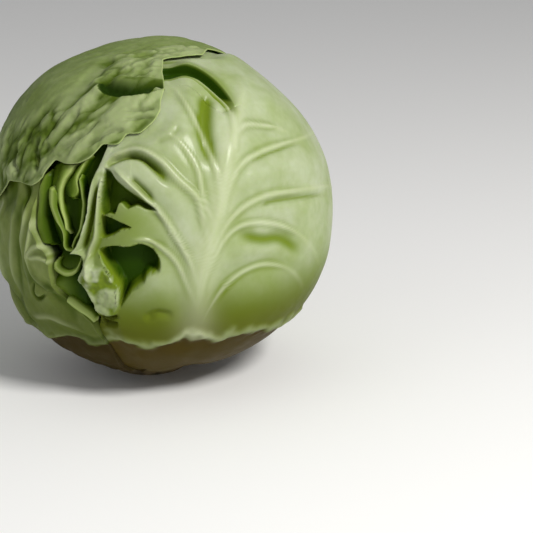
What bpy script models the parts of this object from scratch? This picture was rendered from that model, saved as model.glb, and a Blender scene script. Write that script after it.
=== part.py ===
"""A head of green cabbage: a cut stem, and the separate leaves that wrap round it.

Metres, +Z up. The origin is the centre of the stem's cut face, which the head stands on, and the
head's front looks along -Y. A place on the head is a (longitude, latitude) pair in degrees, seen
from the head's centre: longitude 0 is the front, +90 is the +X side, and latitude +90 is the top.
"""

import math

import bpy
import numpy as np

# Driving dimensions
HEAD_RADIUS = 0.090
HEAD_HALF_HEIGHT = 0.087
HEAD_CENTRE = np.array((0.010, 0.0, 0.093))
ROUNDNESS = 2.3  # 2 is an ellipsoid, and more gives the head fuller shoulders
BLADE = 0.0014  # a leaf's thickness
LAYER = 0.0037  # from one leaf's outer face to the next leaf's
STEM_FACE_RADIUS = 0.020
LEAF_BASE_LATITUDE = -72.0  # where every leaf meets the stem
CORE_FIT = 0.87  # the core's width as a share of the space between the leaf bases

# The outer leaves, the outermost first. Each has the place of its middle and of points on its margin.
OUTER_LEAVES = {
    "crown_leaf": (
        (-135, 22),
        [(112, 56), (92, 66), (62, 74), (34, 76), (8, 78), (-2, 72), (0, 58), (-5, 49), (-12, 41),
         (-20, 35), (-34, 27), (-46, 24), (-53, 17), (-65, 10), (-80, 5), (-98, 0), (-120, -15),
         (-136, -42), (-140, -72), (-165, -72), (-178, -40), (166, -10), (145, 20), (125, 42)],
    ),
    "side_leaf": (
        (-76, -32),
        [(-95, 2), (-78, 3), (-64, -4), (-57, -12), (-47, -19), (-38, -27), (-33, -38), (-28, -55),
         (-32, -72), (-90, -72), (-118, -55), (-122, -28), (-112, -6)],
    ),
    "front_leaf": (
        (30, 8),
        [(-8, 54), (-20, 38), (-26, 25), (-29, 12), (-32, -1), (-33, -14), (-30, -27), (-28, -42),
         (-18, -60), (-8, -72), (48, -72), (80, -52), (104, -25), (116, 5), (122, 35), (124, 60),
         (90, 80), (20, 82)],
    ),
    "back_left_leaf": (
        (-158, -8),
        [(-96, 14), (-92, -15), (-100, -45), (-110, -72), (172, -72), (155, -50), (148, -12),
         (152, 24), (-178, 48), (-128, 42)],
    ),
    "back_right_leaf": (
        (132, -6),
        [(84, 22), (76, -10), (80, -45), (96, -72), (166, -72), (-176, -48), (-168, -8), (-174, 30),
         (164, 58), (120, 64), (96, 48)],
    ),
    "under_leaf_right": (
        (70, 10),
        [(30, 40), (24, 5), (34, -40), (50, -72), (90, -72), (108, -40), (118, 8), (112, 48),
         (70, 66)],
    ),
    "under_leaf_back": (
        (168, 4),
        [(120, 30), (116, -8), (130, -45), (145, -72), (-172, -72), (-150, -44), (-140, -4),
         (-148, 36), (170, 62)],
    ),
    "under_leaf_left": (
        (-112, 2),
        [(-152, 30), (-156, -8), (-145, -45), (-130, -72), (-96, -72), (-80, -45), (-72, -8),
         (-76, 34), (-110, 58)],
    ),
}

# The leaves whose ruffled margins stand up in the gap at the front, from the gap's right to its
# left. Each is the line of its standing margin, from top to bottom.
RUFFLED_LEAVES = {
    "ruffled_leaf_1": [(-30, 40), (-34, 28), (-34, 20), (-31, 12), (-31, 4), (-34, -5), (-33, -20)],
    "ruffled_leaf_2": [(-36, 38), (-40, 27), (-41, 18), (-38, 10), (-37, 3), (-39, -7), (-38, -21)],
    "ruffled_leaf_3": [(-42, 36), (-46, 26), (-47, 17), (-44, 9), (-42, 2), (-44, -9), (-43, -22)],
    "ruffled_leaf_4": [(-48, 34), (-52, 25), (-53, 16), (-50, 8), (-48, 1), (-49, -10), (-48, -23)],
    "ruffled_leaf_5": [(-54, 33), (-58, 25), (-59, 16), (-57, 8), (-54, 1), (-55, -10), (-54, -23)],
    "ruffled_leaf_6": [(-61, 31), (-65, 24), (-67, 15), (-64, 7), (-61, 0), (-61, -11), (-59, -24)],
}
RUFFLED_OUTERMOST = 0.865  # share of the head's radius that the first one's blade lies at
RUFFLED_STEP = 0.032
RUFFLED_WIDTH = 34.0  # degrees of longitude that its blade runs on under the front leaf
RUFFLED_FOOT = 0.55  # how far across the sheet the blade turns up into the standing margin
RUFFLED_GRID = (17, 9)
MARGIN_BELOW_SURFACE = 0.004

# The leaves packed inside, each turned from the last by the angle in which a shoot sets its leaves
HEART_LEAF_COUNT = 8
HEART_OUTERMOST = 0.665
HEART_STEP = 0.048
HEART_LEAF_LATITUDE = 25.0
HEART_TOP_REACH = 84.0
LEAF_TURN = 137.5
BUD_SHARE = 0.26

CELL_ANGLE = 11.0  # the widest step of an outer leaf's mesh
HEART_CELLS = 11


def direction(longitude, latitude):
    """Unit vectors from the head's centre. Angles are in degrees."""
    longitude, latitude = np.radians(longitude), np.radians(latitude)
    level = np.cos(latitude)
    return np.stack((level * np.sin(longitude), -level * np.cos(longitude), np.sin(latitude)), -1)


def head_radius(towards):
    """Distance from the head's centre to its outside, towards each unit vector."""
    level = np.hypot(towards[..., 0], towards[..., 1]) / HEAD_RADIUS
    upright = np.abs(towards[..., 2]) / HEAD_HALF_HEIGHT
    return (level**ROUNDNESS + upright**ROUNDNESS) ** (-1 / ROUNDNESS)


def compass(middle):
    """East, north and outward at the middle of a leaf."""
    outward = direction(*middle)
    east = np.cross((0.0, 0.0, 1.0), outward)
    east /= np.linalg.norm(east)
    return east, np.cross(outward, east), outward


def bearing_and_reach(middle, towards):
    """Where unit vectors lie as seen from a leaf's middle: bearing east of north, and angle away."""
    east, north, outward = compass(middle)
    bearing = np.degrees(np.arctan2(towards @ east, towards @ north))
    return bearing, np.degrees(np.arccos(np.clip(towards @ outward, -1, 1)))


def place_from(middle, bearing, reach):
    """The unit vectors at a bearing and angle from a leaf's middle."""
    east, north, outward = compass(middle)
    bearing, reach = np.radians(bearing)[..., None], np.radians(reach)[..., None]
    return np.cos(reach) * outward + np.sin(reach) * (np.sin(bearing) * east + np.cos(bearing) * north)


def margin_reach(middle, margin, bearing):
    """The angle from a leaf's middle to its margin at each bearing, with the corners rounded."""
    own_bearing, own_reach = bearing_and_reach(middle, direction(*np.transpose(margin)))
    steps = np.arange(360.0)
    reach = np.interp(steps, own_bearing, own_reach, period=360)
    near = np.arange(-9, 10)
    weights = np.exp(-((near / 4.0) ** 2))
    reach = sum(w * np.roll(reach, n) for n, w in zip(near, weights)) / weights.sum()
    return np.interp(bearing, steps, reach, period=360)


def smooth_step(x):
    x = np.clip(x, 0, 1)
    return x * x * (3 - 2 * x)


def coverage(leaf, towards):
    """1 under a leaf and a little past its margin, falling to 0 beyond."""
    middle, margin = OUTER_LEAVES[leaf]
    bearing, reach = bearing_and_reach(middle, towards)
    beyond = reach - margin_reach(middle, margin, bearing)
    sure, fall = 9.0, 14.0
    return 1 - smooth_step((beyond - sure) / fall)


def outer_leaf_radius(leaf, towards):
    """Every leaf lies one layer deeper for each leaf that is over it."""
    names = list(OUTER_LEAVES)
    over = names[: names.index(leaf)]
    return head_radius(towards) - LAYER * sum((coverage(n, towards) for n in over), 0.0)


def disc_grid(cells):
    """A square grid pressed into a disc: its points' angles in degrees, radii from 0 to 1, faces."""
    line = np.linspace(-1, 1, cells + 1)
    a, b = np.meshgrid(line, line, indexing="ij")
    wide = np.abs(a) > np.abs(b)
    radius = np.where(wide, a, b)
    safe = np.where(radius == 0, 1, radius)
    angle = np.where(wide, 45 * b / safe, 90 - 45 * a / safe)
    angle = np.where(radius < 0, angle + 180, angle)
    return angle.ravel(), np.abs(radius).ravel(), grid_faces(cells + 1, cells + 1)


def grid_faces(rows, columns):
    corner = np.arange(rows * columns).reshape(rows, columns)
    quads = (corner[:-1, :-1], corner[:-1, 1:], corner[1:, 1:], corner[1:, :-1])
    return np.stack([q.ravel() for q in quads], -1).tolist()


def material(name, colour, roughness):
    made = bpy.data.materials.new(name)
    made.use_nodes = True
    shader = made.node_tree.nodes["Principled BSDF"]
    shader.inputs["Base Color"].default_value = (*colour, 1)
    shader.inputs["Roughness"].default_value = roughness
    return made


def add_object(name, points, faces, look):
    mesh = bpy.data.meshes.new(name)
    mesh.from_pydata(np.asarray(points).tolist(), [], faces)
    mesh.validate()
    mesh.shade_smooth()
    mesh.materials.append(look)
    made = bpy.data.objects.new(name, mesh)
    bpy.context.scene.collection.objects.link(made)
    return made


def add_sheet(name, points, faces, look):
    """A leaf: its outer face as a mesh, made one blade thick towards the inside."""
    sheet = add_object(name, points, faces, look)
    normals = np.array([p.normal for p in sheet.data.polygons])
    centres = np.array([p.center for p in sheet.data.polygons])
    if np.einsum("ij,ij->", normals, centres - HEAD_CENTRE) < 0:
        sheet.data.flip_normals()
    thick = sheet.modifiers.new("blade", "SOLIDIFY")
    thick.thickness = BLADE
    thick.offset = -1
    return sheet


def clear_of_stem(towards):
    """Moves points that come nearer the foot than the leaf bases do out to where those are."""
    base = math.radians(LEAF_BASE_LATITUDE)
    level = np.hypot(towards[:, 0], towards[:, 1])
    on_base = np.stack((
        towards[:, 0] * math.cos(base) / level,
        towards[:, 1] * math.cos(base) / level,
        np.full(len(towards), math.sin(base)),
    ), -1)
    return np.where(towards[:, 2:] < math.sin(base), on_base, towards)


def add_outer_leaf(name, look):
    middle, margin = OUTER_LEAVES[name]
    widest = margin_reach(middle, margin, np.arange(360.0)).max()
    bearing, share, faces = disc_grid(math.ceil(2 * widest / CELL_ANGLE))
    reach = share * margin_reach(middle, margin, bearing)
    towards = clear_of_stem(place_from(middle, bearing, reach))
    radius = outer_leaf_radius(name, towards)
    add_sheet(name, HEAD_CENTRE + radius[:, None] * towards, faces, look)


def smooth_path(places, count):
    """The longitudes and latitudes of points spread along a smooth curve through a list of places."""
    control = np.array(places, float)
    padded = np.vstack((2 * control[0] - control[1], control, 2 * control[-1] - control[-2]))
    along = np.linspace(0, len(control) - 1 - 1e-9, count)
    first = along.astype(int)
    t = (along - first)[:, None]
    p0, p1, p2, p3 = (padded[first + n] for n in range(4))
    curve = p0 * (2 - t) * (1 - t) * -t + p1 * (2 - 5 * t**2 + 3 * t**3)
    curve += p2 * t * (1 + 4 * t - 3 * t**2) + p3 * (t - 1) * t**2
    return curve.T / 2


def add_ruffled_leaf(name, look):
    """A leaf that lies deep under the front leaf and turns outward, so that its margin stands up."""
    order = list(RUFFLED_LEAVES).index(name)
    share = RUFFLED_OUTERMOST - RUFFLED_STEP * order
    rows, columns = RUFFLED_GRID
    longitude, latitude = smooth_path(RUFFLED_LEAVES[name], rows)
    place, across = np.linspace(0, 1, rows)[:, None], np.linspace(0, 1, columns)
    turn = RUFFLED_WIDTH * np.clip(1 - across / RUFFLED_FOOT, 0, 1)
    towards = direction(longitude[:, None] + turn, latitude[:, None] + 0 * turn)
    whole = head_radius(towards)
    rise = smooth_step((across - RUFFLED_FOOT) / (1 - RUFFLED_FOOT))
    standing = (0.3 + 0.7 * np.sin(math.pi * place)) * rise
    radius = whole * share + standing * (whole * (1 - share) - MARGIN_BELOW_SURFACE)
    points = HEAD_CENTRE + radius[..., None] * towards
    add_sheet(name, points.reshape(-1, 3), grid_faces(rows, columns), look)


def add_heart_leaf(order, look):
    """One of the tightly packed leaves inside, wrapped round all the smaller ones."""
    middle = (LEAF_TURN * order, HEART_LEAF_LATITUDE)
    bearing, share, faces = disc_grid(HEART_CELLS)
    base = HEART_LEAF_LATITUDE - LEAF_BASE_LATITUDE
    reach = share * np.interp(bearing, (0, 180, 360), (HEART_TOP_REACH, base, HEART_TOP_REACH))
    towards = clear_of_stem(place_from(middle, bearing, reach))
    radius = head_radius(towards) * (HEART_OUTERMOST - HEART_STEP * order)
    add_sheet(f"heart_leaf_{order + 1}", HEAD_CENTRE + radius[:, None] * towards, faces, look)


def add_turned(name, rings, sides, look):
    """A solid through level rings, each (x of its centre, height, radius), closed at both ends."""
    turn = np.arange(sides) * 2 * math.pi / sides
    circle = np.stack((np.cos(turn), np.sin(turn), np.zeros(sides)), -1)
    points = np.concatenate([np.array((x, 0, z)) + r * circle for x, z, r in rings])
    faces = [
        (n * sides + k, n * sides + (k + 1) % sides, (n + 1) * sides + (k + 1) % sides, (n + 1) * sides + k)
        for n in range(len(rings) - 1)
        for k in range(sides)
    ]
    faces.append(tuple(reversed(range(sides))))
    faces.append(tuple(range((len(rings) - 1) * sides, len(rings) * sides)))
    return add_object(name, points, faces, look)


def add_stem(look):
    """The cut stub, and the core that it becomes inside the head, which narrows to the bud."""
    centre_x, _, centre_z = HEAD_CENTRE
    core_slope = CORE_FIT * math.tan(math.radians(90 + LEAF_BASE_LATITUDE))
    core = [(centre_x, z, core_slope * (centre_z - z)) for z in (0.014, 0.030, 0.050, 0.066)]
    stub = [
        (0.0, 0.0, STEM_FACE_RADIUS),
        (0.0010, 0.0015, 1.05 * STEM_FACE_RADIUS),
        (0.0045, 0.0060, 1.10 * STEM_FACE_RADIUS),
        (0.0080, 0.0100, 1.13 * STEM_FACE_RADIUS),
    ]
    add_turned("stem", stub + core, 32, look)


def add_bud(look):
    rings = 9
    tilt = np.radians(np.linspace(-80, 80, rings))
    radius, height = BUD_SHARE * HEAD_RADIUS, BUD_SHARE * HEAD_HALF_HEIGHT
    centre_x, _, centre_z = HEAD_CENTRE
    circles = [(centre_x, centre_z + height * math.sin(t), radius * math.cos(t)) for t in tilt]
    add_turned("heart_bud", circles, 20, look)


def main():
    for old in list(bpy.data.objects):
        bpy.data.objects.remove(old, do_unlink=True)
    outer_green = material("outer_leaf", (0.47, 0.58, 0.30), 0.38)
    crown_green = material("crown_leaf", (0.22, 0.30, 0.12), 0.60)
    inner_green = material("inner_leaf", (0.42, 0.54, 0.20), 0.45)
    heart_yellow = material("heart_leaf", (0.75, 0.76, 0.42), 0.45)
    stem_white = material("stem", (0.62, 0.58, 0.42), 0.60)
    for name in OUTER_LEAVES:
        add_outer_leaf(name, crown_green if name == "crown_leaf" else outer_green)
    for name in RUFFLED_LEAVES:
        add_ruffled_leaf(name, inner_green)
    for order in range(HEART_LEAF_COUNT):
        add_heart_leaf(order, heart_yellow)
    add_bud(heart_yellow)
    add_stem(stem_white)


main()
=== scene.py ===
"""A head of green cabbage on a pale floor, in soft studio light.

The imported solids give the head's size and place. Every leaf that shows is made again here as a fine
sheet with its veins, puckers, folds and torn margin, and stands for its plain solid. A place on the
head is a (longitude, latitude) pair in degrees, seen from the head's centre: longitude 0 is the
front, +90 is the +X side, and latitude +90 is the top. Lengths on a leaf are in millimetres.
"""

import math

import bpy
import numpy as np
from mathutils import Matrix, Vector, noise


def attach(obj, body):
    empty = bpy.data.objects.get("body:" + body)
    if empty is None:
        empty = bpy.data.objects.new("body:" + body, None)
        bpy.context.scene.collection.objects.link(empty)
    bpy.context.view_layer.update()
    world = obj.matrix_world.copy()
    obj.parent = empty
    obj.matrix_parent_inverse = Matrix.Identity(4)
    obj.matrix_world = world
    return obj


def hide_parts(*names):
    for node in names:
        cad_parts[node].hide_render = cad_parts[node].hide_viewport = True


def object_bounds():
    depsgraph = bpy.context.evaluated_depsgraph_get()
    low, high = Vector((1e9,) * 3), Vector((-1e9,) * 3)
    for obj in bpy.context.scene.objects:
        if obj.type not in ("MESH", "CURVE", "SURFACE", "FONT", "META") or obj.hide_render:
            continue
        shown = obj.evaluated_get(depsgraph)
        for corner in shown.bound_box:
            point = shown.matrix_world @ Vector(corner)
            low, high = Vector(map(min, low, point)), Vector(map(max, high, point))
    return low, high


MM = 0.001
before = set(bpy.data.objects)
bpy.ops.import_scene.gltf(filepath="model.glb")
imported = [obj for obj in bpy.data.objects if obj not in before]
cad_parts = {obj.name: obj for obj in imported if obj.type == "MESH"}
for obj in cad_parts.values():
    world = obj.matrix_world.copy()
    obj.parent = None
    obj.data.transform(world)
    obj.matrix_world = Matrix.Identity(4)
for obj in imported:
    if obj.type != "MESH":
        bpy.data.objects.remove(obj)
cad_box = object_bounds()
LOW, HIGH = np.array(cad_box[0]), np.array(cad_box[1])

# The head's overall form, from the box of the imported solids
HEAD_RADIUS = (HIGH[0] - LOW[0]) / 2
HEAD_HALF_HEIGHT = 0.967 * HEAD_RADIUS
HEAD_CENTRE = np.array(((LOW[0] + HIGH[0]) / 2, (LOW[1] + HIGH[1]) / 2, HIGH[2] - HEAD_HALF_HEIGHT))
ROUNDNESS = 2.3
LEAF_BASE_LATITUDE = -73.0

# Where the head swells out or flattens: place, millimetres, and how far it reaches in radians
SWELLS = [((-95, 30), 4.0, 0.55), ((-70, -38), 5.0, 0.5), ((104, 42), -6.5, 0.5), ((150, 78), 3.0, 0.4),
          ((110, -15), 2.0, 0.7), ((-35, -58), 4.5, 0.35)]

BLADE = 0.6 * MM
LAYER = 2.4 * MM  # from one leaf's outer face to the next leaf's
UNDER_LAYER = 5.0 * MM

# The outer leaves, the outermost first: the place of the middle, and of points on the margin
OUTER_LEAVES = {
    "crown_leaf": (
        (-76, 42),
        [(110, 57), (104, 66), (87, 74), (51, 72), (23, 73), (1, 72), (0, 63), (1, 57),
         (1, 53), (-1, 49), (-1, 45), (-4, 41), (-9, 37), (-14, 37), (-17, 33), (-23, 33), (-27, 28),
         (-31, 26), (-36, 25), (-41, 26), (-44, 22), (-47, 18), (-50, 16), (-57, 16), (-64, 15),
         (-76, 6), (-98, 0), (-120, -15), (-150, -35), (-178, -40),
         (166, -10), (145, 20), (125, 42)],
    ),
    "side_leaf": (
        (-62, -26),
        [(-98, 22), (-78, 28), (-66, 28), (-54, 27), (-48, 22), (-48, 14), (-48.5, 8), (-48, 2),
         (-45, -2), (-41, -5), (-41, -11), (-41, -16), (-37, -19), (-34, -21), (-30, -24), (-26, -28),
         (-25, -34), (-22, -52), (-18, -62), (-20, -73), (-90, -73), (-118, -55), (-124, -28), (-116, 4)],
    ),
    "front_leaf": (
        (0, 5),
        [(-16, 72), (-20, 62), (-20, 50), (-20, 42), (-22, 35), (-24, 27), (-26, 18), (-26.5, 11),
         (-28, 5), (-30, 0), (-32.5, -3.5), (-28.5, -4), (-27.5, -6.5), (-29.5, -11), (-27, -14),
         (-26, -16), (-24.5, -20), (-25, -26), (-27, -31), (-26, -46), (-22, -60), (-14, -73),
         (48, -73), (80, -52), (104, -25), (116, 5), (122, 35), (124, 60), (90, 80), (20, 82)],
    ),
    "back_left_leaf": (
        (-158, -8),
        [(-96, 14), (-92, -15), (-100, -45), (-110, -73), (172, -73), (155, -50), (148, -12),
         (152, 24), (-178, 48), (-128, 42)],
    ),
    "back_right_leaf": (
        (132, -6),
        [(84, 22), (76, -10), (80, -45), (96, -73), (166, -73), (-176, -48), (-168, -8), (-174, 30),
         (164, 58), (120, 64), (96, 48)],
    ),
    "under_leaf_right": (
        (70, 10),
        [(30, 40), (24, 5), (34, -40), (50, -73), (90, -73), (108, -40), (118, 8), (112, 48),
         (70, 66)],
    ),
    "under_leaf_back": (
        (168, 4),
        [(120, 30), (116, -8), (130, -45), (145, -73), (-172, -73), (-150, -44), (-140, -4),
         (-148, 36), (170, 62)],
    ),
    "under_leaf_left": (
        (-112, 2),
        [(-152, 30), (-156, -8), (-145, -45), (-130, -73), (-96, -73), (-72, -50), (-62, -8),
         (-70, 34), (-110, 58)],
    ),
}

# Ribs of the front leaf: places, half width at each end, height at each end
FRONT_RIBS = [
    ([(18, -73), (14, -50), (11, -30), (11, -14), (13, -4), (17, 8), (21, 20), (26, 31), (33, 41),
      (43, 50), (55, 58)], (12, 2.2), (3.2, 1.2)),
    ([(27, 31), (30, 38), (31, 43), (30, 49), (25, 55), (15, 60)], (1.4, 0.9), (1.4, 0.8)),
    ([(19, 13), (19, 21), (18, 27), (16, 36), (12, 46), (7, 55), (2, 60)], (1.4, 0.9), (1.5, 0.9)),
    ([(16, 3), (15, 10), (13, 17), (12, 25), (9, 31), (4, 36), (-2, 39)], (1.2, 0.8), (1.1, 0.6)),
    ([(15, 0), (13, 8), (11, 16), (5, 22), (-1, 28), (-7, 31), (-12, 32), (-17, 30), (-21, 26),
      (-24, 20)],
     (1.5, 2.0), (1.6, 2.6)),
    ([(12, -16), (8, -5), (4, 3), (-1, 11), (-6, 16), (-12, 21), (-19, 26)], (1.6, 1.3), (1.9, 2.4)),
    ([(11, -22), (6, -10), (3, -4), (-1, 0), (-6, 3), (-12, 3)], (1.3, 1.0), (1.3, 0.8)),
    ([(30, 36), (36, 38), (43, 37), (51, 35), (58, 31)], (1.2, 0.8), (0.7, 0.3)),
    ([(19, 10), (22, 18), (28, 25), (37, 28), (50, 29), (69, 28), (98, 24)],
     (1.4, 0.8), (0.8, 0.1)),
    ([(13, -10), (15, -2), (20, 6), (27, 11.5), (37, 14), (51, 13), (70, 10), (98, 2)],
     (1.7, 0.9), (1.6, 0.2)),
    ([(11, -20), (13, -10), (19, 1), (26, 5.5), (36, 5), (48, 0), (58, -8), (74, -22)],
     (1.6, 0.8), (1.3, 0.5)),
    ([(12, -34), (14, -24), (22, -13), (34, -9), (48, -14), (62, -26)], (1.6, 0.8), (0.9, 0.3)),
    ([(-22, 22), (-22.2, 15), (-22.5, 8), (-23, 3), (-25, -2), (-25.5, -8), (-24, -14)],
     (0.9, 2.0), (3.0, 2.4)),
]
# Soft valleys of the front leaf: places, depth, half width
FRONT_VALLEYS = [
    ([(24, 53), (20, 46), (17, 37), (17, 24)], 3.2, 4.2),
    ([(22, 4), (33, 0), (43, -2), (56, -11)], 2.4, 3.4),
    ([(29, -1), (39, 0.5), (53, -5)], 1.6, 2.6),
    ([(-4, 71), (8, 72), (20, 71)], 1.8, 2.6),
    ([(-14, 72), (-18, 60), (-16, 50), (-20, 42)], 7.0, 9.0),
    ([(32, 10.5), (40, 11.5), (55, 10), (75, 6)], 1.8, 1.3),
    ([(30, 25), (40, 27), (52, 27.5), (66, 26.5)], 1.1, 0.9),
    ([(-21.5, 24), (-19, 27.5), (-15, 29.4), (-11, 30), (-7, 29), (-2, 25), (3, 19)], 6.0, 1.7),
    ([(-12, 23), (-8, 20), (-3, 15)], 2.0, 1.5),
    ([(-23, 21), (-23.8, 15), (-25, 8), (-26.5, 2), (-28.5, -3)], 5.0, 1.0),
    ([(8, 41), (3, 36), (-4, 34)], 1.2, 2.4),
    ([(-26, -24.5), (-21, -25), (-16, -23.5)], 4.5, 1.0),
    ([(-8, -25), (-3, -22), (3, -24)], 1.8, 2.0),
]
# Hollows torn or folded into the front leaf: outline, depth, width of the slope down to the floor, and
# how far within the outline the dark green of the painted shade starts
FRONT_HOLLOWS = [
    ([(-21.3, 24), (-19, 25), (-16, 22), (-11, 18.5), (-6, 15.5), (-2, 12.5), (-6, 12.7), (-9, 13.8),
      (-12, 12.8), (-14.5, 14.5), (-16, 11.2), (-18, 11), (-21.3, 11.5)], 8.0, 2.2, 0.2),
    ([(-21.3, 10), (-18, 10), (-15, 9), (-10.5, 7), (-14, 6), (-17, 4), (-21.3, 3)], 7.0, 1.8, 0.6),
    ([(-22, -1), (-17, 1), (-12, 1), (-8, 2), (-4, 0), (-1.5, -4), (-2, -8), (-5.5, -9),
      (-7, -11.5), (-11, -14.5), (-15.5, -20), (-16, -14), (-18, -9), (-21, -5)], 10.0, 3.0, 1.0),
    ([(-24.5, -26.5), (-21, -26), (-17, -26), (-18, -29), (-23, -30)], 4.0, 1.8, 0.8),
]
# The pale torn flap that hangs between those hollows and the gap: outline, and how far it stands up
FRONT_FLAP = ([(-24, -2), (-23.5, -6), (-20, -6.5), (-17, -9), (-14, -13), (-15, -19), (-17, -23),
               (-21, -23.5), (-25, -21), (-26.5, -15), (-30, -12), (-29, -6)], 2.0)
FRONT_LEFT_MARGIN = [(-20, 50), (-20, 42), (-22, 35), (-24, 27), (-26, 18), (-26.5, 11), (-28, 5), (-30, 0),
                     (-32.5, -3.5), (-28.5, -4), (-27.5, -6.5), (-29.5, -11), (-27, -14), (-26, -16),
                     (-24.5, -20), (-25, -26), (-27, -31)]
# The long fold in the front leaf under the crown leaf: upper edge, lower edge, depth
FRONT_FOLD = ([(-6, 67), (4, 68), (15, 67), (25, 64), (31, 59), (34, 53), (34.5, 48), (33, 43)],
              [(-6, 59), (1, 59.5), (10, 59.5), (18, 58), (23, 54), (27, 49), (30, 43)], 5.5)
# The pocket in the crown leaf: crisp lower lip, soft upper edge, depth
CROWN_POCKET = ([(-38, 55), (-33, 51), (-25, 49.5), (-17, 49.5), (-11, 50), (-4, 52), (3, 54)],
                [(-38, 56), (-31, 59), (-20, 60), (-8, 60), (3, 58)], 4.5)
# Long creases of the crown leaf: places, depth, half width
CROWN_CREASES = [
    ([(-58, 72), (-52, 66), (-47, 58), (-46, 51), (-47, 45), (-50, 40)], 3.0, 3.2),
    ([(-47, 47), (-47, 41), (-49, 36), (-49, 30)], 2.4, 1.2),
    ([(-27, 42), (-31, 36), (-36, 32), (-42, 28)], 2.4, 1.3),
    ([(-14, 38), (-21, 37), (-26, 34), (-33, 29)], 2.2, 1.2),
    ([(-55, 41), (-59, 36), (-61, 32), (-61, 27)], 2.4, 1.5),
    ([(-54, 32), (-53, 27), (-48, 20)], 3.0, 2.0),
    ([(-67, 27), (-64, 22), (-59, 17)], 2.6, 1.6),
    ([(-38, 46), (-40, 40), (-42, 35), (-45, 29)], 2.2, 1.3),
    ([(-3, 46), (-9, 45.5), (-18, 44)], 1.8, 0.8),
    ([(-3, 43), (-10, 42.5), (-17, 40.5)], 1.8, 0.8),
    ([(-22, 60), (-14, 62), (-6, 64)], 1.6, 0.9),
]
# Where the crown leaf's smooth upper part meets its crinkled part, which is on the right of this line
CROWN_SMOOTH_EDGE = [(-30, 80), (-55, 70), (-50, 60), (-48, 52), (-56, 42), (-68, 34), (-90, 26),
                     (-120, 30)]
# The way the crown leaf's and the side leaf's wrinkles run
CROWN_CREASE_WAY = (0.72, 0.1, 0.69)
SIDE_FOLD_WAY = (0.1, 0.25, 0.9)

# Ridges of the side leaf: places, half width at each end, height at each end
SIDE_RIBS = [
    ([(-52, -9), (-49, -5), (-45, -3), (-42, -3.5), (-40.5, -6)], (1.3, 1.3), (1.8, 1.8)),
    ([(-52, 9), (-53, 2), (-55, -4), (-55, -12), (-52, -22)], (1.8, 1.4), (1.8, 1.0)),
    ([(-48, 6), (-49, 2), (-51, -5), (-52, -9), (-51, -14), (-46, -17), (-38, -19)], (1.4, 1.2), (1.6, 1.4)),
    ([(-51, -8), (-45, -7), (-40, -8)], (1.2, 1.2), (1.4, 1.4)),
    ([(-60, 8), (-61, -4), (-62, -16), (-58, -30)], (2.4, 1.8), (1.6, 1.0)),
    ([(-56, -30), (-46, -28), (-38, -30), (-32, -33)], (1.8, 1.4), (1.2, 1.0)),
    ([(-72, 10), (-74, -6), (-74, -24), (-70, -40)], (3.0, 2.4), (2.0, 1.2)),
    ([(-90, 6), (-92, -14), (-88, -36)], (3.4, 2.4), (2.0, 1.2)),
]
SIDE_VALLEYS = [
    ([(-51, -16.5), (-51.5, -20), (-49, -22), (-44, -19)], 2.0, 0.9),
    ([(-57, 17), (-55, 14), (-54, 11), (-54, 6)], 3.0, 1.2),
]
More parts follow.
